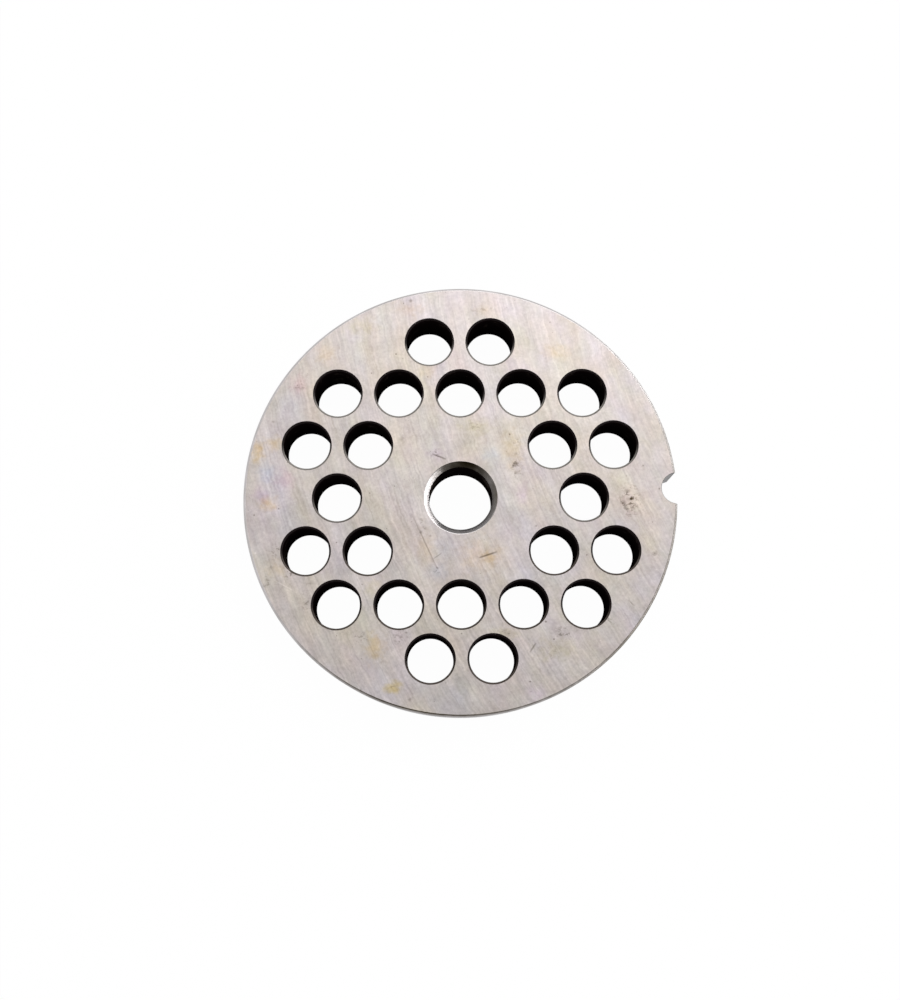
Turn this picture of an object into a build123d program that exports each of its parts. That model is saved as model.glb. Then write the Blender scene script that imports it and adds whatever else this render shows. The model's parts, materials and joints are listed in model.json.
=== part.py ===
"""A perforated plate for a meat grinder, one piece of hardened steel.

The plate lies flat with its lower face on Z = 0 and the axis of its bore on Z. The rows of its meat
holes run along X, and the key notch in its rim is near +X. Lengths are millimetres, angles degrees.
"""

from build123d import *
import math
import os

# Disc
plate_diameter = 70.0
plate_thickness = 9.0
rim_chamfer = 0.35

# Bore for the stud of the feed worm, chamfered on both faces
bore_diameter = 10.2
bore_chamfer = 0.8

# Meat holes, chamfered at both mouths, on a triangular lattice with this much web between neighbours
hole_diameter = 7.5
hole_chamfer = 0.25
hole_web = 2.45

# Half-round notch for the pin in the grinder's head, its centre on the rim
notch_diameter = 5.0
notch_angle = 2.4

plate_radius = plate_diameter / 2
bore_radius = bore_diameter / 2
hole_radius = hole_diameter / 2
notch_radius = notch_diameter / 2
hole_pitch = hole_diameter + hole_web
row_spacing = hole_pitch * math.sin(math.radians(60))
notch_center = Vector(plate_radius, 0).rotate(Axis.Z, notch_angle)


def meat_hole_centers():
    """Lattice points where a hole leaves half its own width of metal to the bore, rim and notch.

    The lattice has a point on the bore's axis. What stays solid round the bore is the knife's seat.
    """
    land = hole_radius
    nearest = bore_radius + land + hole_radius
    farthest = plate_radius - land - hole_radius
    nearest_to_notch = notch_radius + land + hole_radius
    last_row = math.floor(farthest / row_spacing)
    last_column = math.ceil(farthest / hole_pitch)
    centers = []
    for row in range(-last_row, last_row + 1):
        stagger = (row % 2) / 2
        for column in range(-last_column, last_column + 1):
            center = Vector((column + stagger) * hole_pitch, row * row_spacing)
            clears_notch = (center - notch_center).length >= nearest_to_notch
            if nearest <= center.length <= farthest and clears_notch:
                centers.append(center)
    return centers


with BuildPart() as grinder_plate:
    # Disc, chamfered round its rim
    with BuildSketch(Plane.XY):
        Circle(plate_radius)
    extrude(amount=plate_thickness)
    chamfer(grinder_plate.edges().filter_by(GeomType.CIRCLE), length=rim_chamfer)

    # Bore, chamfered at both mouths
    Hole(bore_radius)
    chamfer(grinder_plate.edges(Select.LAST).filter_by(GeomType.CIRCLE), length=bore_chamfer)

    # Meat holes, chamfered at both mouths
    with Locations(*meat_hole_centers()):
        Hole(hole_radius)
    chamfer(grinder_plate.edges(Select.LAST).filter_by(GeomType.CIRCLE), length=hole_chamfer)

    # Key notch
    with BuildSketch(Plane.XY):
        with Locations(notch_center):
            Circle(notch_radius)
    extrude(amount=plate_thickness, mode=Mode.SUBTRACT)

grinder_plate.part.label = "grinder_plate"

os.makedirs("parts", exist_ok=True)
export_step(grinder_plate.part, "parts/grinder_plate.step")
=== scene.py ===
"""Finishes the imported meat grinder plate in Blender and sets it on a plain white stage.

The plate's surface is rebuilt as clean rings with softened edges, and each machined zone gets its own
finish: ground faces, drilled holes and their mouths, a bored and chamfered centre, a turned rim with its
chamfers and a milled notch. Lengths are metres, except in the patterns of the materials, where places
and sizes are millimetres.
"""
import json

import bpy
import numpy as np
from bpy.props import FloatProperty, FloatVectorProperty, IntProperty, PointerProperty
from mathutils import Matrix, Vector
from mathutils.geometry import delaunay_2d_cdt


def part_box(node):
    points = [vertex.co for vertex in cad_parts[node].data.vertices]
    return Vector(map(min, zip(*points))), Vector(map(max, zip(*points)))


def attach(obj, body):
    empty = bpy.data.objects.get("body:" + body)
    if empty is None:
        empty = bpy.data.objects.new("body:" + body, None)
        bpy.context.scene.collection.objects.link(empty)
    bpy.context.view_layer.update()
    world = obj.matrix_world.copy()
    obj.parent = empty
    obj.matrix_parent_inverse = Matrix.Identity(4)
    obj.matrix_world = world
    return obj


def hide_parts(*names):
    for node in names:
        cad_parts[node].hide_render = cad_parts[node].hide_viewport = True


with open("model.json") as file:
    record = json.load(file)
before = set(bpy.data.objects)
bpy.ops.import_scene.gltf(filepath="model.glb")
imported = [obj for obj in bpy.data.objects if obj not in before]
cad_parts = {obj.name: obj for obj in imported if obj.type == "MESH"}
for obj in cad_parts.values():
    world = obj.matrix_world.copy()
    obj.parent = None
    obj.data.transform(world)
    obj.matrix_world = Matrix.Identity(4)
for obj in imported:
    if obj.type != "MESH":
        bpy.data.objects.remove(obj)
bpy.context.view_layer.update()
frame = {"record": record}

bl_info = {
    "name": "Grinder Plate",
    "version": (1, 0, 0),
    "blender": (4, 5, 0),
    "location": "3D View > Sidebar > Grinder Plate",
    "description": "Builds a ground steel meat grinder plate and its stage",
    "category": "Object",
}

NODE = "grinder_plate"
BODY = "root"
MM = 0.001

MOUNTS = {mount["name"]: mount for mount in frame["record"]["mounts"]}
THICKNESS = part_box(NODE)[1].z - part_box(NODE)[0].z
TOP_MM = THICKNESS / MM
PLATE_RADIUS = MOUNTS["rim"]["dims"]["r_mm"] * MM
BORE_RADIUS = MOUNTS["bore"]["dims"]["r_mm"] * MM
RIM_CHAMFER = (THICKNESS - MOUNTS["rim"]["dims"]["length_mm"] * MM) / 2
BORE_CHAMFER = (THICKNESS - MOUNTS["bore"]["dims"]["length_mm"] * MM) / 2
NOTCH_ANGLE = float(np.arctan2(MOUNTS["notch"]["axis"][1], MOUNTS["notch"]["axis"][0]))
OPENINGS = frame["record"]["physics"]["openings"]
HOLE_CENTERS = np.array([np.mean(opening["box_m"], axis=0)[:2] for opening in OPENINGS])

# Machined zones, by their number in the list of materials.
FACE, WALL, MOUTH, BORE, CONE, RIM, EDGE, NOTCH = range(8)


# ---------------------------------------------------------------- settings

class PlateSizes(bpy.types.PropertyGroup):
    """Sizes that the frame doesn't state."""

    hole_diameter: FloatProperty(
        name="Meat hole", description="Diameter of a meat hole", default=7.5 * MM, min=0, unit="LENGTH")
    hole_chamfer: FloatProperty(
        name="Hole chamfer", description="Width of the chamfer at a meat hole's mouths",
        default=0.25 * MM, min=0, unit="LENGTH")
    notch_diameter: FloatProperty(
        name="Notch", description="Width of the half-round notch", default=5 * MM, min=0, unit="LENGTH")
    edge_softness: FloatProperty(
        name="Edge softness", description="Length over which a sharp edge is rounded",
        default=0.06 * MM, min=0, unit="LENGTH")
    notch_corner: FloatProperty(
        name="Notch corner", description="Radius where the notch meets the rim",
        default=0.2 * MM, min=0, unit="LENGTH")
    steps: IntProperty(
        name="Steps", description="Points round a meat hole", default=72, min=12)


class FinishSettings(bpy.types.PropertyGroup):
    """Colours of the steel's finishes and of the painted light on the meat holes' mouths, and the grinding
    wheel's place.
    """

    ground: FloatVectorProperty(
        name="Ground steel", description="Colour of the ground faces", subtype="COLOR",
        default=(0.395, 0.357, 0.340), min=0, max=1)
    turned: FloatVectorProperty(
        name="Turned steel", description="Colour of the rim, the notch and the chamfers",
        subtype="COLOR", default=(0.30, 0.285, 0.285), min=0, max=1)
    scale: FloatVectorProperty(
        name="Scale", description="Colour of the dark scale in the holes", subtype="COLOR",
        default=(0.0056, 0.0030, 0.0032), min=0, max=1)
    # Also the colour of the painted light on the +Y sides of the meat holes' mouths, in the rows towards
    # -Y.
    worn_and_lit_scale: FloatVectorProperty(
        name="Worn scale", description="Colour of the scale where it has rubbed thin",
        subtype="COLOR", default=(0.062, 0.050, 0.042), min=0, max=1)
    # Painted light: the colour of the +Y sides of the meat holes' mouths, in the rows towards +Y.
    mouth_light_colour: FloatVectorProperty(
        name="Dull edge", description="Colour of the bare chamfers at the meat holes' mouths",
        subtype="COLOR", default=(0.20, 0.185, 0.17), min=0, max=1)
    wheel_center: FloatVectorProperty(
        name="Wheel centre", description="Axis of the grinding wheel, whose arcs are the grain",
        subtype="TRANSLATION", default=(0.150, 0.058, 0), unit="LENGTH")


class StageSettings(bpy.types.PropertyGroup):
    """The camera's place over the plate, and the lamps."""

    aim: FloatVectorProperty(
        name="Aim", description="Point of the upper face that the camera looks at",
        subtype="TRANSLATION", default=(-1.72 * MM, -0.39 * MM, THICKNESS), unit="LENGTH")
    distance: FloatProperty(
        name="Distance", description="From the camera to its aim", default=0.233, min=0, unit="LENGTH")
    tilt: FloatProperty(
        name="Tilt", description="Lean of the view from straight down, towards -Y",
        default=np.radians(9.3), unit="ROTATION")
    turn: FloatProperty(
        name="Turn", description="Lean of the view towards +X", default=np.radians(-0.52),
        unit="ROTATION")
    roll: FloatProperty(
        name="Roll", description="Turn of the picture about the view", default=np.radians(-0.27),
        unit="ROTATION")
    lens: FloatProperty(
        name="Lens", description="Focal length for a 36 mm sensor", default=52.1, min=1, unit="CAMERA")
    key_power: FloatProperty(
        name="Key lamp", description="Power of the soft lamp over the plate", default=2.0, min=0,
        unit="POWER")
    key_place: FloatVectorProperty(
        name="Key lamp's place", description="Middle of the soft lamp", subtype="TRANSLATION",
        default=(0.15, 0.38, 0.62), unit="LENGTH")
    key_size: FloatVectorProperty(
        name="Key lamp's size", description="Width and height of the soft lamp", size=2,
        default=(0.50, 0.50), min=0, unit="LENGTH")
    side_power: FloatProperty(
        name="Side lamp", description="Power of the long low lamp at the plate's side", default=2.9,
        min=0, unit="POWER")
    side_place: FloatVectorProperty(
        name="Side lamp's place", description="Middle of the long lamp", subtype="TRANSLATION",
        default=(0.50, 0.02, 0.06), unit="LENGTH")
    side_size: FloatVectorProperty(
        name="Side lamp's size", description="Width and height of the long lamp", size=2,
        default=(1.20, 0.11), min=0, unit="LENGTH")
    ambient: FloatProperty(
        name="Ambient", description="Strength of the even light on dull surfaces", default=0.85, min=0,
        subtype="FACTOR")
    floor_grey: FloatProperty(
        name="Floor", description="Grey of the floor's paper, which takes the shadow", default=0.85,
        min=0, max=1, subtype="FACTOR")
    floor_white: FloatProperty(
        name="Floor white", description="Share of plain white laid over the paper where it is seen",
        default=0.98, min=0, max=1, subtype="FACTOR")


# ---------------------------------------------------------------- surface of the plate

def edge_profile(chamfer, softness):
    """Rows (inset, height) down a machined wall with a chamfer at both edges, from face to face.

    The straight runs meet in corners K with directions u in and v out, each rounded as the parabola
    K - L (1 - s)^2 u + L s^2 v for s from 0 to 1, where L is the softness. A row that lies three times
    the softness below the chamfer keeps the wall's shading straight. The lower half mirrors the upper."""
    corners = [(chamfer, THICKNESS), (0.0, THICKNESS - chamfer)]
    runs = [(-1.0, 0.0), (-np.sqrt(0.5), -np.sqrt(0.5)), (0.0, -1.0)]
    rows_per_corner = 5
    s = np.linspace(0, 1, rows_per_corner)[:, None]
    rows = [np.array(corner) - softness * (1 - s) ** 2 * np.array(u) + softness * s ** 2 * np.array(v)
            for corner, u, v in zip(corners, runs[:-1], runs[1:])]
    rows.append(np.array([[0.0, THICKNESS - chamfer - 3 * softness]]))
    upper = np.concatenate(rows)
    middle = np.array([[0.0, THICKNESS / 2]])
    lower = upper[::-1] * [1, -1] + [0, THICKNESS]
    return np.concatenate([upper, middle, lower])


def circle(radius, angle):
    """Points of a circle about the origin at the given angles."""
    return radius * np.stack([np.cos(angle), np.sin(angle)], axis=1)


def rim_outline(inset, notch_inset, sizes, count):
    """The plate's outline, count points anticlockwise from the notch's bottom: the rim's circle, the
    notch's circle about a point of the nominal rim, and a small arc that touches both at each corner.

    In the notch's own axes the corner arc of radius q has its centre F at angle b, where
    cos b = ((R - q)^2 + P^2 - (n + q)^2) / (2 P (R - q)), for a rim of radius R, a notch of radius n and
    a nominal rim of radius P. The half above the notch's axis is mirrored for the one below. A 25th of
    the points lie on each half of the notch, and 5 on each corner."""
    rim, notch, corner = PLATE_RADIUS - inset, sizes.notch_diameter / 2 + notch_inset, sizes.notch_corner
    reach = rim - corner
    turn = np.arccos((reach ** 2 + PLATE_RADIUS ** 2 - (notch + corner) ** 2) / (2 * PLATE_RADIUS * reach))
    pivot = circle(reach, np.array([turn]))
    notch_center = np.array([[PLATE_RADIUS, 0.0]])
    to_pivot = (pivot - notch_center)[0]
    meets = np.arctan2(to_pivot[1], to_pivot[0])
    in_notch, in_corner = count // 25, 5
    in_rim = count // 2 - in_notch - in_corner
    upper = np.concatenate([
        notch_center + circle(notch, np.linspace(np.pi, meets, in_notch, endpoint=False)),
        pivot + circle(corner, np.linspace(meets - np.pi, turn, in_corner, endpoint=False)),
        circle(rim, np.linspace(turn, np.pi, in_rim + 1)),
    ])
    lower = upper[1:-1][::-1] * [1, -1]
    points = np.concatenate([upper, lower])
    cosine, sine = np.cos(NOTCH_ANGLE), np.sin(NOTCH_ANGLE)
    return points @ np.array([[cosine, sine], [-sine, cosine]])


def lift(loop, height):
    """A loop of plane points at one height."""
    return np.column_stack([loop, np.full(len(loop), height)])


def bored_rings(center, radius, profile, steps):
    """Rings down a round wall about a centre: at each row of the profile a circle of the radius plus
    the inset. They run anticlockwise, so that the faces look to the axis, out of the metal."""
    angle = 2 * np.pi * np.arange(steps) / steps
    return np.array([lift(center + circle(radius + inset, angle), height) for inset, height in profile])


def rim_rings(profile, sizes, count):
    """Rings down the rim. The notch was cut after the rim's chamfer, so its own edges are only softened:
    its inset at height z is e (1 - sqrt(1 - k^2)), where k runs from 0 to 1 over the last e below the
    face. They run clockwise, so that the faces look outwards."""
    rings = []
    for inset, height in profile:
        from_edge = min(height, THICKNESS - height)
        k = np.clip(1 - from_edge / sizes.edge_softness, 0, 1)
        notch_inset = sizes.edge_softness * (1 - np.sqrt(1 - k ** 2))
        rings.append(lift(rim_outline(inset, notch_inset, sizes, count), height)[::-1])
    return np.array(rings)


def wall_quads(rings, first):
    """Quads between each ring of points and the next, each ring closing on itself."""
    rows, columns = rings.shape[:2]
    row, column = np.meshgrid(np.arange(rows - 1), np.arange(columns), indexing="ij")
    here, below = row * columns, (row + 1) * columns
    following = (column + 1) % columns
    quads = np.stack([here + column, here + following, below + following, below + column], axis=-1)
    return quads.reshape(-1, 4) + first


def wall_zones(rings, zone, chamfer=0.0, chamfer_zone=FACE):
    """The zone of each quad of a wall: the chamfer's within its height of a face, else the wall's."""
    heights = rings[:, 0, 2]
    middle = (heights[1:] + heights[:-1]) / 2
    depth = np.minimum(middle, THICKNESS - middle)
    zones = np.where(depth < chamfer, chamfer_zone, zone)
    return np.repeat(zones[:, None], rings.shape[1], axis=1)


def rim_zones(rings, sizes):
    """The rim's zones, with the columns of quads that lie on the notch's wall told apart."""
    zones = wall_zones(rings, RIM, RIM_CHAMFER, EDGE)
    mid_wall = rings[len(rings) // 2]
    middle = (mid_wall + np.roll(mid_wall, -1, axis=0))[:, :2] / 2
    from_notch = np.linalg.norm(middle - circle(PLATE_RADIUS, np.array([NOTCH_ANGLE])), axis=1)
    margin = sizes.notch_corner / 4
    zones[:, from_notch < sizes.notch_diameter / 2 + margin] = NOTCH
    return zones


def face_triangles(loops):
    """Triangles that fill a level face from its outline, the first loop, to its round holes, the other
    loops, by Delaunay's rule, as numbers of points in the loops taken in order, anticlockwise from
    above. A triangle with all its corners on one hole's loop lies in that hole, and is left out."""
    points = np.concatenate(loops) / MM
    edges = []
    first = 0
    for loop in loops:
        i = np.arange(len(loop))
        edges.extend(np.stack([first + i, first + (i + 1) % len(loop)], axis=1).tolist())
        first += len(loop)
    inside, tolerance_mm = 1, 1e-5
    filled = delaunay_2d_cdt([Vector(p) for p in points], edges, [], inside, tolerance_mm)
    source = np.array([ids[0] for ids in filled[3]])
    triangles = source[np.array(filled[2])]
    loop_of_point = np.repeat(np.arange(len(loops)), [len(loop) for loop in loops])
    loop_of_corner = loop_of_point[triangles]
    in_hole = (loop_of_corner == loop_of_corner[:, :1]).all(axis=1) & (loop_of_corner[:, 0] > 0)
    return triangles[~in_hole]


def build_mesh(name, walls, materials):
    """One closed mesh from walls of (rings, zones): their quads, smooth-shaded, and two flat-shaded
    faces that join the first rings and the last rings of all the walls."""
    points, faces, zones, upper, lower = [], [], [], [], []
    first = 0
    for rings, zone in walls:
        rows, columns = rings.shape[:2]
        points.append(rings.reshape(-1, 3))
        faces.extend(wall_quads(rings, first).tolist())
        zones.append(zone.reshape(-1))
        upper.append(first + np.arange(columns))
        lower.append(first + (rows - 1) * columns + np.arange(columns))
        first += rows * columns
    triangles = face_triangles([rings[0, :, :2] for rings, _ in walls])
    faces.extend(np.concatenate(upper)[triangles].tolist())
    faces.extend(np.concatenate(lower)[triangles][:, ::-1].tolist())
    zones.append(np.full(2 * len(triangles), FACE))
    zones = np.concatenate(zones)
    mesh = bpy.data.meshes.new(name)
    mesh.from_pydata(np.concatenate(points).tolist(), [], faces)
    mesh.polygons.foreach_set("material_index", zones.astype(np.int32))
    mesh.polygons.foreach_set("use_smooth", zones != FACE)
    for material in materials:
        mesh.materials.append(material)
    mesh.validate()
    return mesh


# ---------------------------------------------------------------- node helpers

def add(tree, kind, inputs=None, **settings):
    """A shader node with its settings, and its inputs set or linked."""
    node = tree.nodes.new("ShaderNode" + kind)
    for name, value in settings.items():
        setattr(node, name, value)
    for key, value in (inputs or {}).items():
        if isinstance(value, bpy.types.NodeSocket):
            tree.links.new(value, node.inputs[key])
        else:
            node.inputs[key].default_value = value
    return node


def math(tree, operation, *values, clamp=False):
    """The result of a Math node."""
    return add(tree, "Math", dict(enumerate(values)), operation=operation, use_clamp=clamp).outputs[0]


def vector(tree, operation, *values):
    """The vector result of a Vector Math node."""
    return add(tree, "VectorMath", dict(enumerate(values)), operation=operation).outputs[0]


def length(tree, value):
    """The length of a vector."""
    return add(tree, "VectorMath", {0: value}, operation="LENGTH").outputs["Value"]


def noise(tree, position, scale, detail=2.0, roughness=0.5):
    """A noise value about 0.5 at a position."""
    inputs = {"Vector": position, "Scale": scale, "Detail": detail, "Roughness": roughness}
    return add(tree, "TexNoise", inputs).outputs["Fac"]


def ramp(tree, value, low, high, to_low=0.0, to_high=1.0, smooth=True):
    """A value mapped from low..high to to_low..to_high, held at the ends."""
    inputs = {"Value": value, "From Min": low, "From Max": high, "To Min": to_low, "To Max": to_high}
    easing = "SMOOTHSTEP" if smooth else "LINEAR"
    return add(tree, "MapRange", inputs, interpolation_type=easing).outputs[0]


def mix(tree, factor, first, second):
    """Two colours mixed."""
    node = add(tree, "Mix", data_type="RGBA", clamp_factor=True)
    for socket, value in zip((node.inputs[0], node.inputs[6], node.inputs[7]), (factor, first, second)):
        if isinstance(value, bpy.types.NodeSocket):
            tree.links.new(value, socket)
        else:
            socket.default_value = value
    return node.outputs[2]


def grey(value):
    """A grey as a colour with alpha."""
    return (value, value, value, 1.0)


def opaque(colour):
    """A property's colour with alpha."""
    return (*colour, 1.0)


def new_group(name, inputs, outputs):
    """An empty node group with typed sockets, and its input and output nodes."""
    tree = bpy.data.node_groups.new(name, "ShaderNodeTree")
    kinds = {"value": "NodeSocketFloat", "vector": "NodeSocketVector"}
    for socket, (kind, default) in inputs.items():
        made = tree.interface.new_socket(socket, in_out="INPUT", socket_type=kinds[kind])
        made.default_value = default
    for socket, kind in outputs.items():
        tree.interface.new_socket(socket, in_out="OUTPUT", socket_type=kinds[kind])
    return tree, tree.nodes.new("NodeGroupInput").outputs, tree.nodes.new("NodeGroupOutput").inputs


def use(tree, group, **inputs):
    """The outputs of a group placed in a tree, its inputs named with underscores for spaces."""
    node = tree.nodes.new("ShaderNodeGroup")
    node.node_tree = group
    for key, value in inputs.items():
        socket = node.inputs[key.replace("_", " ")]
        if isinstance(value, bpy.types.NodeSocket):
            tree.links.new(value, socket)
        else:
            socket.default_value = value
    return node.outputs


def new_material(name):
    """A material with a Principled shader, its tree and the shader's inputs."""
    material = bpy.data.materials.new(name)
    material.use_nodes = True
    return material, material.node_tree, material.node_tree.nodes["Principled BSDF"].inputs


def place_mm(tree):
    """The place on the plate in millimetres."""
    position = add(tree, "TexCoord").outputs["Object"]
    return vector(tree, "MULTIPLY", position, (1 / MM, 1 / MM, 1 / MM))


def tinted(tree, colour, amount, tint):
    """A colour times 1 + amount x tint, channel by channel."""
    change = add(tree, "VectorMath", {0: tint, "Scale": amount}, operation="SCALE").outputs[0]
    return vector(tree, "MULTIPLY", colour, vector(tree, "ADD", change, (1, 1, 1)))


# ---------------------------------------------------------------- shared effects

def grinding_arcs_group():
    """Grinding arcs: turns a place into (distance from the wheel's axis, way round it, height), so
    that noise squeezed along the second axis runs in arcs."""
    tree, inside, outside = new_group(
        "Grinding arcs",
        {"Place": ("vector", (0, 0, 0)), "Wheel": ("vector", (150, 58, 0))},
        {"Arc": "vector"})
    offset = vector(tree, "SUBTRACT", inside["Place"], inside["Wheel"])
    parts = add(tree, "SeparateXYZ", {0: offset}).outputs
    flat = add(tree, "CombineXYZ", {0: parts[0], 1: parts[1]}).outputs[0]
    mean_radius = length(tree, inside["Wheel"])
    turn = math(tree, "ARCTAN2", parts[1], math(tree, "MULTIPLY", parts[0], -1.0))
    along = math(tree, "MULTIPLY", turn, mean_radius)
    arc = add(tree, "CombineXYZ", {0: length(tree, flat), 1: along, 2: parts[2]}).outputs[0]
    tree.links.new(arc, outside["Arc"])
    return tree


def streaks_group():
    """Streaks: noise about 0 with its own number of marks per mm along each axis of a place, for
    grain, machining lines and clouds."""
    tree, inside, outside = new_group(
        "Streaks",
        {"Place": ("vector", (0, 0, 0)), "Per mm": ("vector", (3, 0.1, 3)), "Detail": ("value", 3.0)},
        {"Value": "value"})
    position = vector(tree, "MULTIPLY", inside["Place"], inside["Per mm"])
    field = noise(tree, position, scale=1.0, detail=inside["Detail"], roughness=0.6)
    tree.links.new(math(tree, "SUBTRACT", field, 0.5), outside["Value"])
    return tree


def pits_group():
    """Pits: small round dots, one in some cells of an uneven lattice. Each has its own radius, between
    0.4 and 1.4 times the one given."""
    tree, inside, outside = new_group(
        "Pits",
        {"Place": ("vector", (0, 0, 0)), "Per mm": ("value", 0.6), "Share": ("value", 0.1),
         "Radius": ("value", 0.12)},
        {"Mask": "value"})
    cells = add(tree, "TexVoronoi", {"Vector": inside["Place"], "Scale": inside["Per mm"]},
                voronoi_dimensions="3D").outputs
    chance = add(tree, "SeparateColor", {0: cells["Color"]}).outputs
    chosen = math(tree, "LESS_THAN", chance[0], inside["Share"])
    distance = math(tree, "DIVIDE", cells["Distance"], inside["Per mm"])
    radius = math(tree, "MULTIPLY", inside["Radius"], math(tree, "ADD", chance[1], 0.4))
    edge = math(tree, "SUBTRACT", 1.0, math(tree, "DIVIDE", distance, radius), clamp=True)
    mask = math(tree, "MULTIPLY", ramp(tree, edge, 0.0, 0.6), chosen)
    tree.links.new(mask, outside["Mask"])
    return tree


def spot_group():
    """Spot: a soft blot about a centre, gone at its reach along each axis. Noise times its raggedness
    breaks up the edge."""
    tree, inside, outside = new_group(
        "Spot",
        {"Place": ("vector", (0, 0, 0)), "Centre": ("vector", (0, 0, 0)), "Reach": ("vector", (1, 1, 1)),
         "Ragged": ("value", 0.5)},
        {"Mask": "value"})
    offset = vector(tree, "SUBTRACT", inside["Place"], inside["Centre"])
    distance = length(tree, vector(tree, "DIVIDE", offset, inside["Reach"]))
    field = math(tree, "SUBTRACT", noise(tree, inside["Place"], scale=0.9, detail=4.0), 0.5)
    broken = math(tree, "MULTIPLY", field, inside["Ragged"])
    mask = ramp(tree, math(tree, "ADD", distance, broken), low=1.0, high=-0.1)
    tree.links.new(mask, outside["Mask"])
    return tree


def scratch_group():
    """Scratch: a fine straight mark from one place to another. It fades out over its reach to each
    side, and towards both ends by (4 w (1 - w))^0.4, where w is the way along it from 0 to 1."""
    tree, inside, outside = new_group(
        "Scratch",
        {"Place": ("vector", (0, 0, 0)), "From": ("vector", (0, 0, 0)), "To": ("vector", (1, 0, 0)),
         "Reach": ("value", 0.1)},
        {"Mask": "value"})
    run = vector(tree, "SUBTRACT", inside["To"], inside["From"])
    offset = vector(tree, "SUBTRACT", inside["Place"], inside["From"])
    product = add(tree, "VectorMath", {0: offset, 1: run}, operation="DOT_PRODUCT").outputs["Value"]
    square = add(tree, "VectorMath", {0: run, 1: run}, operation="DOT_PRODUCT").outputs["Value"]
    way = math(tree, "DIVIDE", product, square, clamp=True)
    foot = add(tree, "VectorMath", {0: run, "Scale": way}, operation="SCALE").outputs[0]
    distance = length(tree, vector(tree, "SUBTRACT", offset, foot))
    line = ramp(tree, math(tree, "DIVIDE", distance, inside["Reach"]), low=1.0, high=0.2)
    ends = math(tree, "MULTIPLY", math(tree, "MULTIPLY", way, math(tree, "SUBTRACT", 1.0, way)), 4.0)
    mask = math(tree, "MULTIPLY", line, math(tree, "POWER", ends, 0.4))
    tree.links.new(mask, outside["Mask"])
    return tree


def spots(tree, effects, place, rows, spread, ragged):
    """The masks of spots on the upper face, each with its strength, from rows of x, y, the reaches along
    x and y, and strength. The reaches are multiplied by the spread."""
    marks = []
    for x, y, along_x, along_y, strength in rows:
        reach = (spread * along_x, spread * along_y, SPOT_DEPTH)
        spot = use(tree, effects["spot"], Place=place, Centre=(x, y, TOP_MM), Reach=reach, Ragged=ragged)
        marks.append((spot["Mask"], strength))
    return marks


def scratches(tree, effects, place):
    """The masks of the scratches on the upper face, each with its strength."""
    marks = []
    for x0, y0, x1, y1, reach, strength in SCRATCHES:
        scratch = use(tree, effects["scratch"], Place=place, From=(x0, y0, TOP_MM),
                      To=(x1, y1, TOP_MM), Reach=reach)
        marks.append((scratch["Mask"], strength))
    return marks


def gathered(tree, marks):
    """The sum of masks times their strengths."""
    total = 0.0
    for mask, strength in marks:
        total = math(tree, "MULTIPLY_ADD", mask, strength, total)
    return total


# ---------------------------------------------------------------- marks of the finishes, in mm

# Noise in the ground faces: name, where it is read, marks per mm along the axes there, and detail. "arc"
# is the place wound about the wheel's axis, and "aside" lies off it, so that the noise there differs.
STREAKS = (
    ("fine", "arc", (3.0, 0.09, 3.0), 2.0),
    ("strands", "aside", (1.4, 0.08, 1.4), 2.0),
    ("broad", "arc", (0.5, 0.04, 0.5), 2.0),
    ("speckle", "place", (2.6, 2.6, 2.6), 4.0),
    ("blotches", "place", (0.9, 0.9, 0.9), 2.0),
    ("clouds", "place", (0.30, 0.30, 0.30), 3.0),
    ("warmth", "arc", (0.18, 0.09, 0.18), 3.0),
    ("blush", "aside", (0.24, 0.12, 0.24), 5.0),
    ("flecks", "place", (1.7, 2.4, 2.4), 3.0),
)

# Dots in the ground faces: name, where they lie, cells per mm, share of the cells with a dot, radius.
DOTS = (
    ("pits", "place", 0.75, 0.18, 0.16),
    ("specks", "aside", 1.7, 0.10, 0.08),
    ("glints", "aside", 1.3, 0.08, 0.10),
)

# What each of them does to the steel's colour: the change of each channel where its value is 1.
GRAIN_TINTS = {
    "fine": (0.54, 0.54, 0.54),
    "strands": (0.28, 0.28, 0.28),
    "speckle": (0.48, 0.48, 0.48),
    "broad": (0.24, 0.24, 0.24),
    "blotches": (0.22, 0.22, 0.22),
    "clouds": (0.46, 0.46, 0.46),
    "warmth": (0.06, 0.0, -0.46),
    "blush": (0.06, -0.13, 0.0),
    "pits": (-0.5, -0.52, -0.54),
    "specks": (-0.35, -0.36, -0.37),
    "glints": (0.25, 0.25, 0.25),
}

# How far "aside" lies off "arc", and how the arcs sway: marks per mm of the noise that shifts a place
# before it is wound, and the shift where that noise is 1.
ASIDE = (40.0, 90.0, 20.0)
SWAY_PER_MM = 0.45
SWAY = (1.0, 0.4, 0.0)

# Gloss of the ground faces: their roughness, and what a cloud and a line of the fine grain add to it.
GROUND_ROUGHNESS = 0.40
CLOUD_ROUGHNESS = 0.12
GRAIN_ROUGHNESS = 0.10

# What bare patches on the walls, and lines and dull patches on turned steel, add to their roughness.
WORN_ROUGHNESS = -0.2
LINES_ROUGHNESS = 0.12
DULL_ROUGHNESS = -0.25

# Stretch of the gloss along the lines of ground and turned steel.
ANISOTROPY = 0.4

# Heights in the steel: of a line of the fine grain, of a pit as a multiple of that, of a turned line, and
# of a tool ring in the meat holes and in the bore.
GRAIN_HEIGHT = 0.002
PIT_HEIGHT = -3.0
LINES_HEIGHT = 0.004
HOLE_RING_HEIGHT = 0.004
BORE_RING_HEIGHT = 0.002

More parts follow.
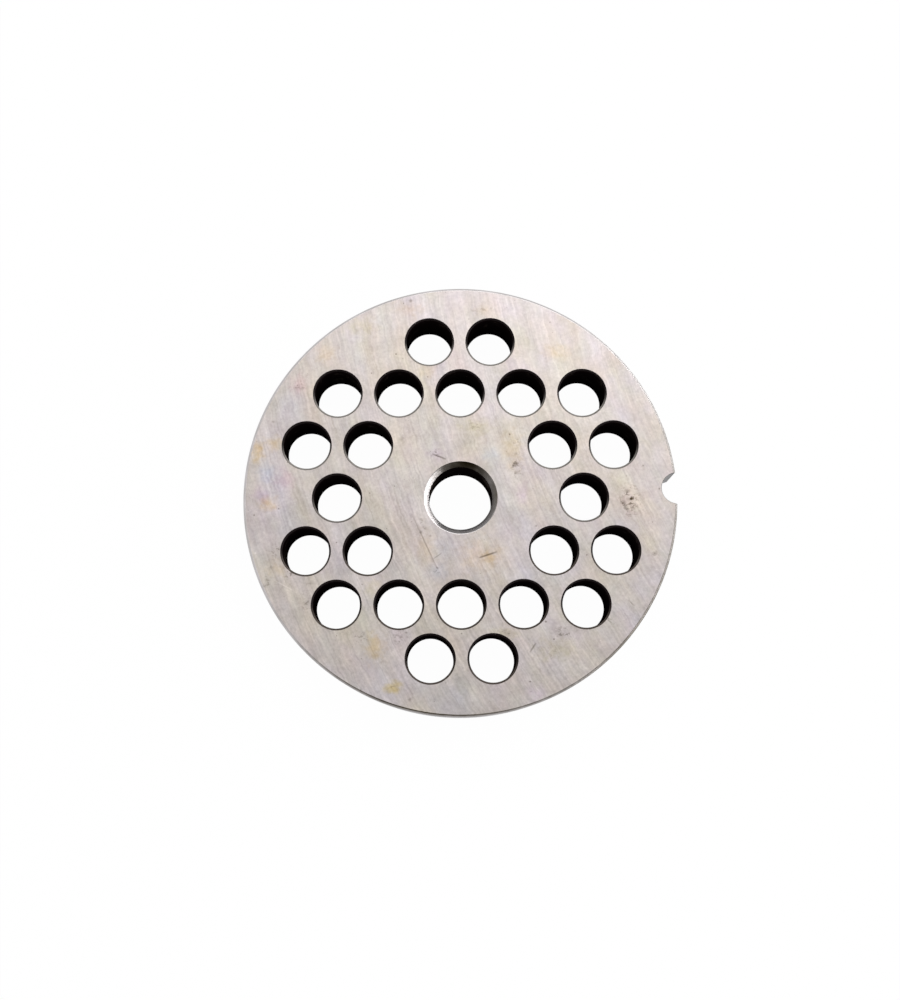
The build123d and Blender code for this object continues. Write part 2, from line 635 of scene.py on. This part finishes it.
# What stains, dark marks and grime, and the lines and dull patches on turned steel do to a colour: the
# change of each channel at a strength of 1.
STAIN_TINTS = {
    "tan": (0.03, -0.05, -0.20),
    "orange": (0.08, -0.06, -0.33),
    "olive": (-0.01, -0.02, -0.23),
    "pink": (0.05, -0.07, -0.02),
    "violet": (-0.02, -0.09, 0.03),
    "blue": (-0.10, -0.03, 0.07),
}
DARK_TINT = (-0.42, -0.43, -0.45)
LINES_TINT = (0.5, 0.5, 0.5)
DULL_TINT = (0.7, 0.72, 0.78)

# Depth that a mark of the upper face reaches below it, and the greatest summed strength of dark marks.
SPOT_DEPTH = 2.0
DARKEST = 2.2

# Noise from which a fleck shows, and from which it is full, in the flecked places.
FLECK_EDGE = (0.04, 0.12)

# Stains on the upper face: tint, x and y, reach along x and y, strength. They are drawn wider than that
# by the spread, because their ragged edges fade.
STAIN_SPREAD = 1.7
STAINS = (
    ("orange", -32.8, 7.6, 1.0, 1.6, 1.0), ("orange", -30.1, 8.9, 1.3, 1.0, 0.8),
    ("blue", -31.3, 4.0, 1.2, 1.5, 1.0), ("pink", -28.5, 3.1, 1.6, 1.5, 0.9),
    ("violet", -32.0, 0.6, 1.3, 1.2, 0.9), ("orange", -30.9, -0.9, 1.3, 1.0, 0.9),
    ("tan", -8.1, 31.4, 2.2, 1.1, 0.7), ("olive", -16.4, 28.6, 2.6, 1.3, 0.6),
    ("orange", -21.9, 23.6, 1.4, 1.5, 0.4), ("pink", -26.4, 18.7, 1.3, 1.6, 0.9),
    ("tan", 4.0, 31.2, 1.6, 0.9, 0.6), ("orange", 15.6, 24.1, 1.8, 1.3, 0.45),
    ("orange", -5.3, 21.1, 1.3, 1.2, 0.35), ("olive", 2.5, 11.6, 2.4, 1.3, 0.6),
    ("tan", 8.6, 7.8, 1.6, 2.6, 0.9), ("violet", -4.1, 7.3, 1.2, 1.5, 0.8),
    ("blue", 4.7, 6.9, 1.3, 1.1, 0.8), ("violet", 10.0, 0.9, 0.8, 1.8, 0.8),
    ("tan", -5.4, -8.6, 1.5, 3.2, 0.6), ("tan", 3.2, -9.5, 3.0, 2.4, 0.8),
    ("orange", 4.5, -9.6, 0.9, 0.7, 0.8), ("blue", -4.1, -12.0, 1.6, 1.2, 0.8),
    ("olive", -13.9, -14.5, 1.4, 1.6, 0.8), ("orange", -13.7, -24.1, 1.3, 2.0, 0.9),
    ("orange", -10.8, -30.4, 1.2, 0.9, 0.8), ("olive", -10.8, -30.4, 1.3, 1.0, 1.1),
    ("olive", 7.0, -21.9, 2.2, 1.2, 0.7), ("olive", 14.6, -24.6, 2.6, 1.6, 0.6),
    ("tan", -29.4, -11.4, 1.5, 1.4, 0.8), ("violet", 12.1, -31.2, 2.0, 1.1, 0.7),
    ("pink", 27.6, -0.4, 1.6, 2.6, 0.5), ("blue", -20.4, -19.6, 2.4, 1.4, 0.5),
)

# Dark smudges on the upper face: x and y, reach along x and y, strength.
SMUDGES = (
    (26.9, 1.0, 0.9, 0.45, 0.88), (26.2, 0.1, 0.5, 0.4, 0.68), (27.3, -0.3, 0.9, 0.4, 0.68),
    (26.3, -0.9, 0.5, 0.45, 0.82), (26.7, -1.8, 0.6, 0.6, 0.75), (27.9, -1.9, 0.5, 0.4, 0.54),
    (31.0, -9.1, 0.8, 0.5, 0.68), (9.0, 7.2, 0.45, 0.4, 0.82), (8.8, 5.3, 0.65, 0.65, 1.16),
    (9.0, 4.0, 0.5, 0.55, 0.88), (-9.4, 9.6, 0.8, 0.7, 0.61), (-6.4, -3.5, 0.35, 0.35, 0.61),
    (-6.4, -5.6, 0.4, 0.45, 0.82), (-4.9, -6.2, 0.35, 0.4, 0.75), (-9.6, -22.4, 0.6, 0.5, 1.02),
    (-8.8, -21.7, 0.4, 0.35, 0.88), (-10.1, -22.1, 0.35, 0.35, 0.75), (-8.2, -32.2, 0.5, 0.5, 1.02),
    (-30.4, -11.2, 0.5, 0.6, 0.68), (-31.0, -13.2, 0.45, 0.45, 0.61), (-31.0, -14.0, 0.4, 0.35, 0.54),
    (-24.2, -13.8, 0.8, 0.35, 0.61), (-24.6, -17.0, 0.5, 0.6, 0.54), (-8.1, 32.9, 0.45, 0.45, 0.95),
    (-30.3, 12.6, 0.8, 0.35, 0.68), (-26.6, 18.2, 0.9, 0.5, 0.48), (7.2, -21.9, 1.9, 0.8, 0.48),
    (16.4, -22.0, 1.5, 1.0, 0.34), (3.9, 31.4, 0.4, 0.35, 0.82), (5.2, 31.6, 0.4, 0.35, 0.75),
)

# Places on the upper face with a group of small dark flecks: x and y, reach along x and y, strength.
FLECKED = (
    (27.2, -0.5, 2.7, 4.1, 1.6), (-16.3, -22.5, 2.4, 1.5, 0.92), (-9.6, -22.4, 2.2, 1.7, 0.99),
    (16.3, -21.8, 3.2, 1.9, 0.99), (6.5, -21.8, 2.8, 1.3, 0.99), (9.0, 5.4, 1.5, 3.6, 0.99),
    (9.1, 9.1, 1.2, 1.2, 0.92), (-26.4, 18.6, 2.0, 1.2, 0.99), (-4.1, 7.4, 1.5, 1.7, 0.86),
    (3.4, 31.2, 2.2, 1.1, 0.99), (-27.3, -12.1, 1.7, 2.2, 1.06), (-29.6, -8.6, 1.7, 2.6, 0.99),
    (-11.1, -30.4, 1.3, 1.2, 0.79), (-3.9, -11.6, 1.2, 1.6, 0.92), (23.5, -19.7, 1.4, 1.6, 0.86),
    (31.0, -9.1, 1.2, 0.9, 0.99), (-24.5, -16.8, 1.9, 2.6, 0.92), (-31.0, -13.6, 1.0, 1.8, 0.99),
    (14.2, -24.8, 2.2, 1.7, 0.86), (2.6, 11.8, 2.0, 1.6, 0.79), (-6.2, -5.0, 1.2, 3.4, 0.79),
)

# Scratches on the upper face: x and y of both ends, reach to each side, strength. One whose strength
# is below 0 is bright, a painted glint.
SCRATCHES = (
    (-8.0, -2.4, -3.7, -11.7, 0.18, 0.7), (2.8, -9.8, 5.8, -8.8, 0.22, 1.4),
    (-4.6, 7.2, -2.3, 6.3, 0.22, 1.2), (11.8, -23.4, 10.8, -24.9, 0.20, 1.0),
    (-3.1, -9.0, -4.4, -9.9, 0.16, 0.8), (26.6, -16.6, 27.6, -17.6, 0.14, 0.7),
    (22.8, -19.4, 23.9, -20.3, 0.14, 0.7), (-17.0, -6.2, -15.3, -8.1, 0.12, -0.5),
    (-29.9, -13.2, -26.6, -15.0, 0.12, -0.5), (19.0, 20.4, 21.4, 19.2, 0.12, -0.4),
)

# Painted shade on turned steel: centre, reach along each axis, strength. It darkens the foot of the rim
# as a painted contact shadow, and as painted shade it lies in a thin line on the rim's upper chamfer
# towards -Y and darkens the rim's chamfers towards -Y and +X and the bore's upper chamfer towards +Y and
# +X.
PAINTED_FOOT_SHADOW = ((0.0, 0.0, 0.0), (90.0, 90.0, 1.2), 1.6)
PAINTED_EDGE_LINE_SHADE = ((-6.0, -36.0, TOP_MM), (52.0, 30.0, 0.34), 2.3)
PAINTED_SHADE_LOWER_LEFT = ((-14.0, -34.0, TOP_MM), (30.0, 16.0, 6.0), 0.9)
PAINTED_SHADE_RIGHT = ((44.0, -6.0, TOP_MM), (34.0, 62.0, 6.0), 1.9)
PAINTED_SHADE_LOWER_RIGHT = ((30.0, -27.0, TOP_MM), (30.0, 30.0, 6.0), 1.9)
BORE_TOP_SHADE = ((1.4, 5.6, TOP_MM), (10.5, 6.0, 6.0), 2.15)
BORE_CROWN_SHADE = ((0.8, 5.4, TOP_MM), (9.5, 5.0, 6.0), 2.1)
BORE_SIDE_SHADE = ((6.2, 0.6, TOP_MM), (6.5, 8.0, 3.0), 1.9)

# Places on the walls that are rubbed nearly bare of scale: centre, reach along each axis.
RUBBED = (
    ((21.3, -8.4, 5.5), (1.6, 3.2, 5.0)), ((-28.3, -9.4, 3.5), (1.2, 2.6, 4.0)),
    ((-3.4, 24.0, 6.0), (0.9, 1.8, 3.0)), ((11.3, -9.6, 3.5), (0.9, 2.4, 3.5)),
    ((4.4, 2.9, 6.5), (1.4, 2.4, 3.5)), ((-4.8, 1.6, 5.5), (2.2, 4.6, 6.0)),
)

# Painted light on the meat holes' mouths: the Y at which its lighter colour begins and at which it is
# full, how far noise of 1 moves them, and the Y part of the normal at which the painted light begins and
# at which it is full.
LIT_ROWS = (-14.0, 4.0)
LIT_ROWS_WANDER = 16.0
LIT_FACING = (-0.1, 0.5)


# ---------------------------------------------------------------- finishes

def grain(tree, effects, place, wheel_center):
    """The values of the noise and the masks of the dots in the ground faces, by name."""
    sway = use(tree, effects["streaks"], Place=place, Per_mm=(SWAY_PER_MM, SWAY_PER_MM, SWAY_PER_MM),
               Detail=3.0)["Value"]
    shift = add(tree, "VectorMath", {0: SWAY, "Scale": sway}, operation="SCALE").outputs[0]
    wheel = [c / MM for c in wheel_center]
    arc = use(tree, effects["arcs"], Place=vector(tree, "ADD", place, shift), Wheel=wheel)["Arc"]
    where = {"place": place, "arc": arc, "aside": vector(tree, "ADD", arc, ASIDE)}
    values = {}
    for name, at, per_mm, detail in STREAKS:
        noises = use(tree, effects["streaks"], Place=where[at], Per_mm=per_mm, Detail=detail)
        values[name] = noises["Value"]
    for name, at, per_mm, share, radius in DOTS:
        dots = use(tree, effects["pits"], Place=where[at], Per_mm=per_mm, Share=share, Radius=radius)
        values[name] = dots["Mask"]
    return values


def dark_marks(tree, effects, place, flecks):
    """The summed strength of the flecks, smudges and scratches on the upper face."""
    flecked = gathered(tree, spots(tree, effects, place, FLECKED, spread=1.0, ragged=0.6))
    marks = [(flecked, ramp(tree, flecks, *FLECK_EDGE))]
    marks += spots(tree, effects, place, SMUDGES, spread=1.0, ragged=0.8)
    marks += scratches(tree, effects, place)
    return math(tree, "MINIMUM", gathered(tree, marks), DARKEST)


def ground_face(effects, finish):
    """Surface-ground faces: fine grain in arcs, clouds, faint heat tints, stains, smudges, scratches
    and pits. Every mark multiplies the steel's colour."""
    material, tree, shader = new_material("ground_face")
    place = place_mm(tree)
    values = grain(tree, effects, place, finish.wheel_center)
    colour = tuple(finish.ground)
    for name, tint in GRAIN_TINTS.items():
        colour = tinted(tree, colour, values[name], tint)
    for name, tint in STAIN_TINTS.items():
        rows = [row[1:] for row in STAINS if row[0] == name]
        stained = gathered(tree, spots(tree, effects, place, rows, STAIN_SPREAD, ragged=1.5))
        colour = tinted(tree, colour, stained, tint)
    colour = tinted(tree, colour, dark_marks(tree, effects, place, values["flecks"]), DARK_TINT)
    tree.links.new(colour, shader["Base Color"])

    roughness = math(tree, "MULTIPLY_ADD", values["clouds"], CLOUD_ROUGHNESS, GROUND_ROUGHNESS)
    roughness = math(tree, "MULTIPLY_ADD", values["fine"], GRAIN_ROUGHNESS, roughness)
    tree.links.new(roughness, shader["Roughness"])
    relief = math(tree, "MULTIPLY_ADD", values["pits"], PIT_HEIGHT, values["fine"])
    bump = add(tree, "Bump", {"Height": relief, "Distance": GRAIN_HEIGHT * MM})
    tree.links.new(bump.outputs["Normal"], shader["Normal"])
    across = vector(tree, "SUBTRACT", add(tree, "TexCoord").outputs["Object"], tuple(finish.wheel_center))
    tangent = add(tree, "VectorTransform", {0: across}, convert_from="OBJECT", convert_to="WORLD")
    tree.links.new(tangent.outputs[0], shader["Tangent"])
    shader["Metallic"].default_value = 1.0
    shader["Anisotropic"].default_value = ANISOTROPY
    return material


def drilled_wall(effects, finish, name, roughness, ring_height):
    """Dark scale left in the drilled holes and the bore, with faint tool rings: worn thin in patches,
    and rubbed nearly bare at a few places."""
    material, tree, shader = new_material(name)
    place = place_mm(tree)
    mottle = use(tree, effects["streaks"], Place=place, Per_mm=(0.7, 0.7, 0.45), Detail=4.0)["Value"]
    rings = use(tree, effects["streaks"], Place=place, Per_mm=(0.08, 0.08, 4.0), Detail=3.0)["Value"]
    patch = math(tree, "MULTIPLY_ADD", rings, 0.5, mottle)
    worn = ramp(tree, patch, low=0.06, high=0.30, to_high=0.5)
    rubbed = ramp(tree, patch, low=-0.20, high=0.15)
    for center, reach in RUBBED:
        spot = use(tree, effects["spot"], Place=place, Centre=center, Reach=reach, Ragged=0.6)["Mask"]
        worn = math(tree, "MULTIPLY_ADD", spot, rubbed, worn, clamp=True)
    colour = mix(tree, worn, opaque(finish.scale), opaque(finish.worn_and_lit_scale))
    tree.links.new(colour, shader["Base Color"])
    tree.links.new(math(tree, "MULTIPLY_ADD", worn, WORN_ROUGHNESS, roughness), shader["Roughness"])
    bump = add(tree, "Bump", {"Height": rings, "Distance": ring_height * MM})
    tree.links.new(bump.outputs["Normal"], shader["Normal"])
    shader["Metallic"].default_value = 0.0
    shader["Specular IOR Level"].default_value = 0.0
    return material


def hole_mouth(effects, finish):
    """Chamfers at the meat holes' mouths: dark scale, with painted light on the side that faces +Y,
    towards the
    key lamp: the worn-scale colour in the rows of holes nearest -Y, and lighter steel in all the others."""
    material, tree, shader = new_material("hole_mouth")
    place = place_mm(tree)
    patch = use(tree, effects["streaks"], Place=place, Per_mm=(0.5, 0.5, 0.5), Detail=3.0)["Value"]
    along = add(tree, "SeparateXYZ", {0: place}).outputs[1]
    lit_row = ramp(tree, math(tree, "MULTIPLY_ADD", patch, LIT_ROWS_WANDER, along), *LIT_ROWS)
    facing = add(tree, "SeparateXYZ", {0: add(tree, "TexCoord").outputs["Normal"]}).outputs[1]
    # Painted light: the side of each mouth that faces +Y gets a lighter colour.
    lit_colour = mix(tree, lit_row, opaque(finish.worn_and_lit_scale), opaque(finish.mouth_light_colour))
    colour = mix(tree, ramp(tree, facing, *LIT_FACING), opaque(finish.scale), lit_colour)
    tree.links.new(colour, shader["Base Color"])
    shader["Roughness"].default_value = 0.6
    shader["Specular IOR Level"].default_value = 0.1
    return material


def turned_metal(effects, finish, name, per_mm, brightness, roughness, turn, painted_shade):
    """Turned or milled steel: lines left by the tool, dull patches, and spots of painted shade. The turn
    is that of the gloss along the lines, as a share of a full turn."""
    material, tree, shader = new_material(name)
    place = place_mm(tree)
    lines = use(tree, effects["streaks"], Place=place, Per_mm=per_mm, Detail=3.0)["Value"]
    dull = use(tree, effects["streaks"], Place=place, Per_mm=(0.22, 0.22, 0.6), Detail=4.0)["Value"]
    colour = tuple(brightness * c for c in finish.turned)
    colour = tinted(tree, colour, lines, LINES_TINT)
    colour = tinted(tree, colour, dull, DULL_TINT)
    # Painted shade: each spot darkens the steel's colour.
    for center, reach, strength in painted_shade:
        spot = use(tree, effects["spot"], Place=place, Centre=center, Reach=reach, Ragged=0.3)["Mask"]
        colour = tinted(tree, colour, spot, [strength * c for c in DARK_TINT])
    tree.links.new(colour, shader["Base Color"])
    level = math(tree, "MULTIPLY_ADD", dull, DULL_ROUGHNESS, roughness)
    tree.links.new(math(tree, "MULTIPLY_ADD", lines, LINES_ROUGHNESS, level), shader["Roughness"])
    bump = add(tree, "Bump", {"Height": lines, "Distance": LINES_HEIGHT * MM})
    tree.links.new(bump.outputs["Normal"], shader["Normal"])
    tangent = add(tree, "Tangent", direction_type="RADIAL", axis="Z")
    tree.links.new(tangent.outputs["Tangent"], shader["Tangent"])
    shader["Metallic"].default_value = 1.0
    shader["Anisotropic"].default_value = ANISOTROPY
    shader["Anisotropic Rotation"].default_value = turn
    return material


def plate_materials(finish):
    """The zones' materials, in the zones' order."""
    effects = {
        "arcs": grinding_arcs_group(), "streaks": streaks_group(), "pits": pits_group(),
        "spot": spot_group(), "scratch": scratch_group(),
    }
    round_lines, upright_lines = (0.04, 0.04, 7.0), (6.0, 6.0, 0.05)
    quarter_turn, no_turn = 0.25, 0.0
    return [
        ground_face(effects, finish),
        drilled_wall(effects, finish, "drilled_wall", roughness=0.75, ring_height=HOLE_RING_HEIGHT),
        hole_mouth(effects, finish),
        drilled_wall(effects, finish, "bored_wall", roughness=0.60, ring_height=BORE_RING_HEIGHT),
        # The last argument of each turned finish lists its spots of painted shade.
        turned_metal(effects, finish, "bore_chamfer", round_lines, brightness=1.55, roughness=0.29,
                     turn=quarter_turn, painted_shade=(BORE_TOP_SHADE, BORE_CROWN_SHADE, BORE_SIDE_SHADE)),
        turned_metal(effects, finish, "turned_rim", round_lines, brightness=1.1, roughness=0.38,
                     turn=quarter_turn, painted_shade=(PAINTED_FOOT_SHADOW,)),
        turned_metal(effects, finish, "rim_chamfer", round_lines, brightness=1.7, roughness=0.40,
                     turn=quarter_turn, painted_shade=(PAINTED_FOOT_SHADOW, PAINTED_EDGE_LINE_SHADE, PAINTED_SHADE_LOWER_LEFT, PAINTED_SHADE_RIGHT, PAINTED_SHADE_LOWER_RIGHT)),
        turned_metal(effects, finish, "milled_notch", upright_lines, brightness=0.4, roughness=0.45,
                     turn=no_turn, painted_shade=(PAINTED_FOOT_SHADOW,)),
    ]


# ---------------------------------------------------------------- plate

class GRINDER_PLATE_OT_build_plate(bpy.types.Operator):
    """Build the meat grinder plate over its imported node"""

    bl_idname = "grinder_plate.build_plate"
    bl_label = "Build plate"
    bl_options = {"REGISTER", "UNDO"}

    def execute(self, context):
        """Builds the walls of the rim, the bore and each meat hole, and the two faces between them."""
        sizes, finish = context.scene.plate_sizes, context.scene.plate_finish
        softness = sizes.edge_softness
        rim_steps, bore_steps = 7 * sizes.steps, 2 * sizes.steps
        rim = rim_rings(edge_profile(RIM_CHAMFER, softness), sizes, rim_steps)
        bore = bored_rings(np.zeros(2), BORE_RADIUS, edge_profile(BORE_CHAMFER, softness), bore_steps)
        walls = [(rim, rim_zones(rim, sizes)), (bore, wall_zones(bore, BORE, BORE_CHAMFER, CONE))]
        mouths = edge_profile(sizes.hole_chamfer, softness)
        for center in HOLE_CENTERS:
            hole = bored_rings(center, sizes.hole_diameter / 2, mouths, sizes.steps)
            walls.append((hole, wall_zones(hole, WALL, sizes.hole_chamfer, MOUTH)))
        mesh = build_mesh("plate_surface", walls, plate_materials(finish))
        plate = bpy.data.objects.new("plate_surface", mesh)
        context.scene.collection.objects.link(plate)
        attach(plate, BODY)
        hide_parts(NODE)
        return {"FINISHED"}


# ---------------------------------------------------------------- stage

def add_camera(stage):
    """The camera, aim + distance along the view's normal n = (sin turn, -sin tilt cos turn,
    cos tilt cos turn), with the picture's up direction leaning by the roll."""
    normal = Vector((np.sin(stage.turn), -np.sin(stage.tilt) * np.cos(stage.turn),
                     np.cos(stage.tilt) * np.cos(stage.turn)))
    up = Vector((-np.sin(stage.roll), np.cos(stage.roll), 0.0))
    right = up.cross(normal).normalized()
    camera = bpy.data.objects.new("camera", bpy.data.cameras.new("camera"))
    camera.data.lens = stage.lens
    camera.data.sensor_width = 36.0
    camera.data.sensor_fit = "AUTO"
    camera.data.clip_start = MM
    turn = Matrix((right, normal.cross(right), normal)).transposed()
    camera.matrix_world = Matrix.Translation(Vector(stage.aim) + stage.distance * normal) @ turn.to_4x4()
    bpy.context.scene.collection.objects.link(camera)
    bpy.context.scene.camera = camera


def background_rays(tree):
    """1 for the rays that see the background: from the camera, and in metal or glass."""
    path = add(tree, "LightPath").outputs
    seen = math(tree, "ADD", path["Is Camera Ray"], path["Is Glossy Ray"], clamp=True)
    return math(tree, "ADD", seen, path["Is Transmission Ray"], clamp=True)


def add_world(ambient):
    """A white background, and an even grey light of the given strength on the object."""
    world = bpy.data.worlds.new("studio")
    world.use_nodes = True
    tree = world.node_tree
    shader = tree.nodes["Background"].inputs
    shader["Color"].default_value = grey(1.0)
    strength = ramp(tree, background_rays(tree), 0, 1, to_low=ambient, to_high=1.0, smooth=False)
    tree.links.new(strength, shader["Strength"])
    bpy.context.scene.world = world


def add_floor(paper_grey, white_share):
    """A white floor just under the plate: a large level sheet of grey paper under plain white, which
    leaves a faint shadow."""
    half, drop = 3.0, 0.02 * MM
    corners = np.array([(-1, -1), (1, -1), (1, 1), (-1, 1)]) * half
    mesh = bpy.data.meshes.new("floor")
    mesh.from_pydata(lift(corners, -drop).tolist(), [], [(0, 1, 2, 3)])
    material = bpy.data.materials.new("floor")
    material.use_nodes = True
    tree = material.node_tree
    tree.nodes.clear()
    paper = add(tree, "BsdfDiffuse", {"Color": grey(paper_grey)}).outputs[0]
    glow = add(tree, "Emission", {"Color": grey(1.0), "Strength": 1.0}).outputs[0]
    share = math(tree, "MULTIPLY", background_rays(tree), white_share)
    surface = add(tree, "MixShader", {0: share, 1: paper, 2: glow}).outputs[0]
    add(tree, "OutputMaterial", {"Surface": surface})
    mesh.materials.append(material)
    floor = bpy.data.objects.new("floor", mesh)
    bpy.context.scene.collection.objects.link(floor)


def add_lamp(name, place, size, power):
    """A soft lamp at a place, facing the plate, from its width and height, its height upright."""
    lamp = bpy.data.lights.new(name, "AREA")
    lamp.shape = "RECTANGLE"
    lamp.size, lamp.size_y = size
    lamp.energy = power
    holder = bpy.data.objects.new(name, lamp)
    holder.rotation_euler = Vector(place).to_track_quat("Z", "Y").to_euler()
    holder.location = place
    bpy.context.scene.collection.objects.link(holder)


class GRINDER_PLATE_OT_set_stage(bpy.types.Operator):
    """Set up the camera, the floor, the white surroundings and the lamps"""

    bl_idname = "grinder_plate.set_stage"
    bl_label = "Set stage"
    bl_options = {"REGISTER", "UNDO"}

    def execute(self, context):
        """Places everything that isn't part of the plate."""
        stage = context.scene.plate_stage
        add_camera(stage)
        add_world(stage.ambient)
        add_floor(stage.floor_grey, stage.floor_white)
        add_lamp("key_lamp", stage.key_place, stage.key_size, stage.key_power)
        add_lamp("side_lamp", stage.side_place, stage.side_size, stage.side_power)
        context.scene.view_settings.view_transform = "Standard"
        return {"FINISHED"}


# ---------------------------------------------------------------- panel and registering

class GRINDER_PLATE_PT_panel(bpy.types.Panel):
    """Settings and buttons of the plate and its stage"""

    bl_idname = "GRINDER_PLATE_PT_panel"
    bl_label = "Grinder Plate"
    bl_space_type = "VIEW_3D"
    bl_region_type = "UI"
    bl_category = "Grinder Plate"

    def draw(self, context):
        """Lists each operator under its settings."""
        scene = context.scene
        for groups, operator in (
                ((scene.plate_sizes, scene.plate_finish), GRINDER_PLATE_OT_build_plate),
                ((scene.plate_stage,), GRINDER_PLATE_OT_set_stage)):
            box = self.layout.box()
            for group in groups:
                for name in group.bl_rna.properties.keys():
                    if name not in {"rna_type", "name"}:
                        box.prop(group, name)
            box.operator(operator.bl_idname)


CLASSES = (
    PlateSizes, FinishSettings, StageSettings,
    GRINDER_PLATE_OT_build_plate, GRINDER_PLATE_OT_set_stage, GRINDER_PLATE_PT_panel,
)


def register():
    """Registers the classes and puts their settings on the scene."""
    for cls in CLASSES:
        bpy.utils.register_class(cls)
    bpy.types.Scene.plate_sizes = PointerProperty(type=PlateSizes)
    bpy.types.Scene.plate_finish = PointerProperty(type=FinishSettings)
    bpy.types.Scene.plate_stage = PointerProperty(type=StageSettings)


def unregister():
    """Takes the settings and the classes away again."""
    del bpy.types.Scene.plate_sizes
    del bpy.types.Scene.plate_finish
    del bpy.types.Scene.plate_stage
    for cls in reversed(CLASSES):
        bpy.utils.unregister_class(cls)


def main():
    register()
    bpy.ops.grinder_plate.build_plate()
    bpy.ops.grinder_plate.set_stage()


if __name__ == "__main__":
    main()
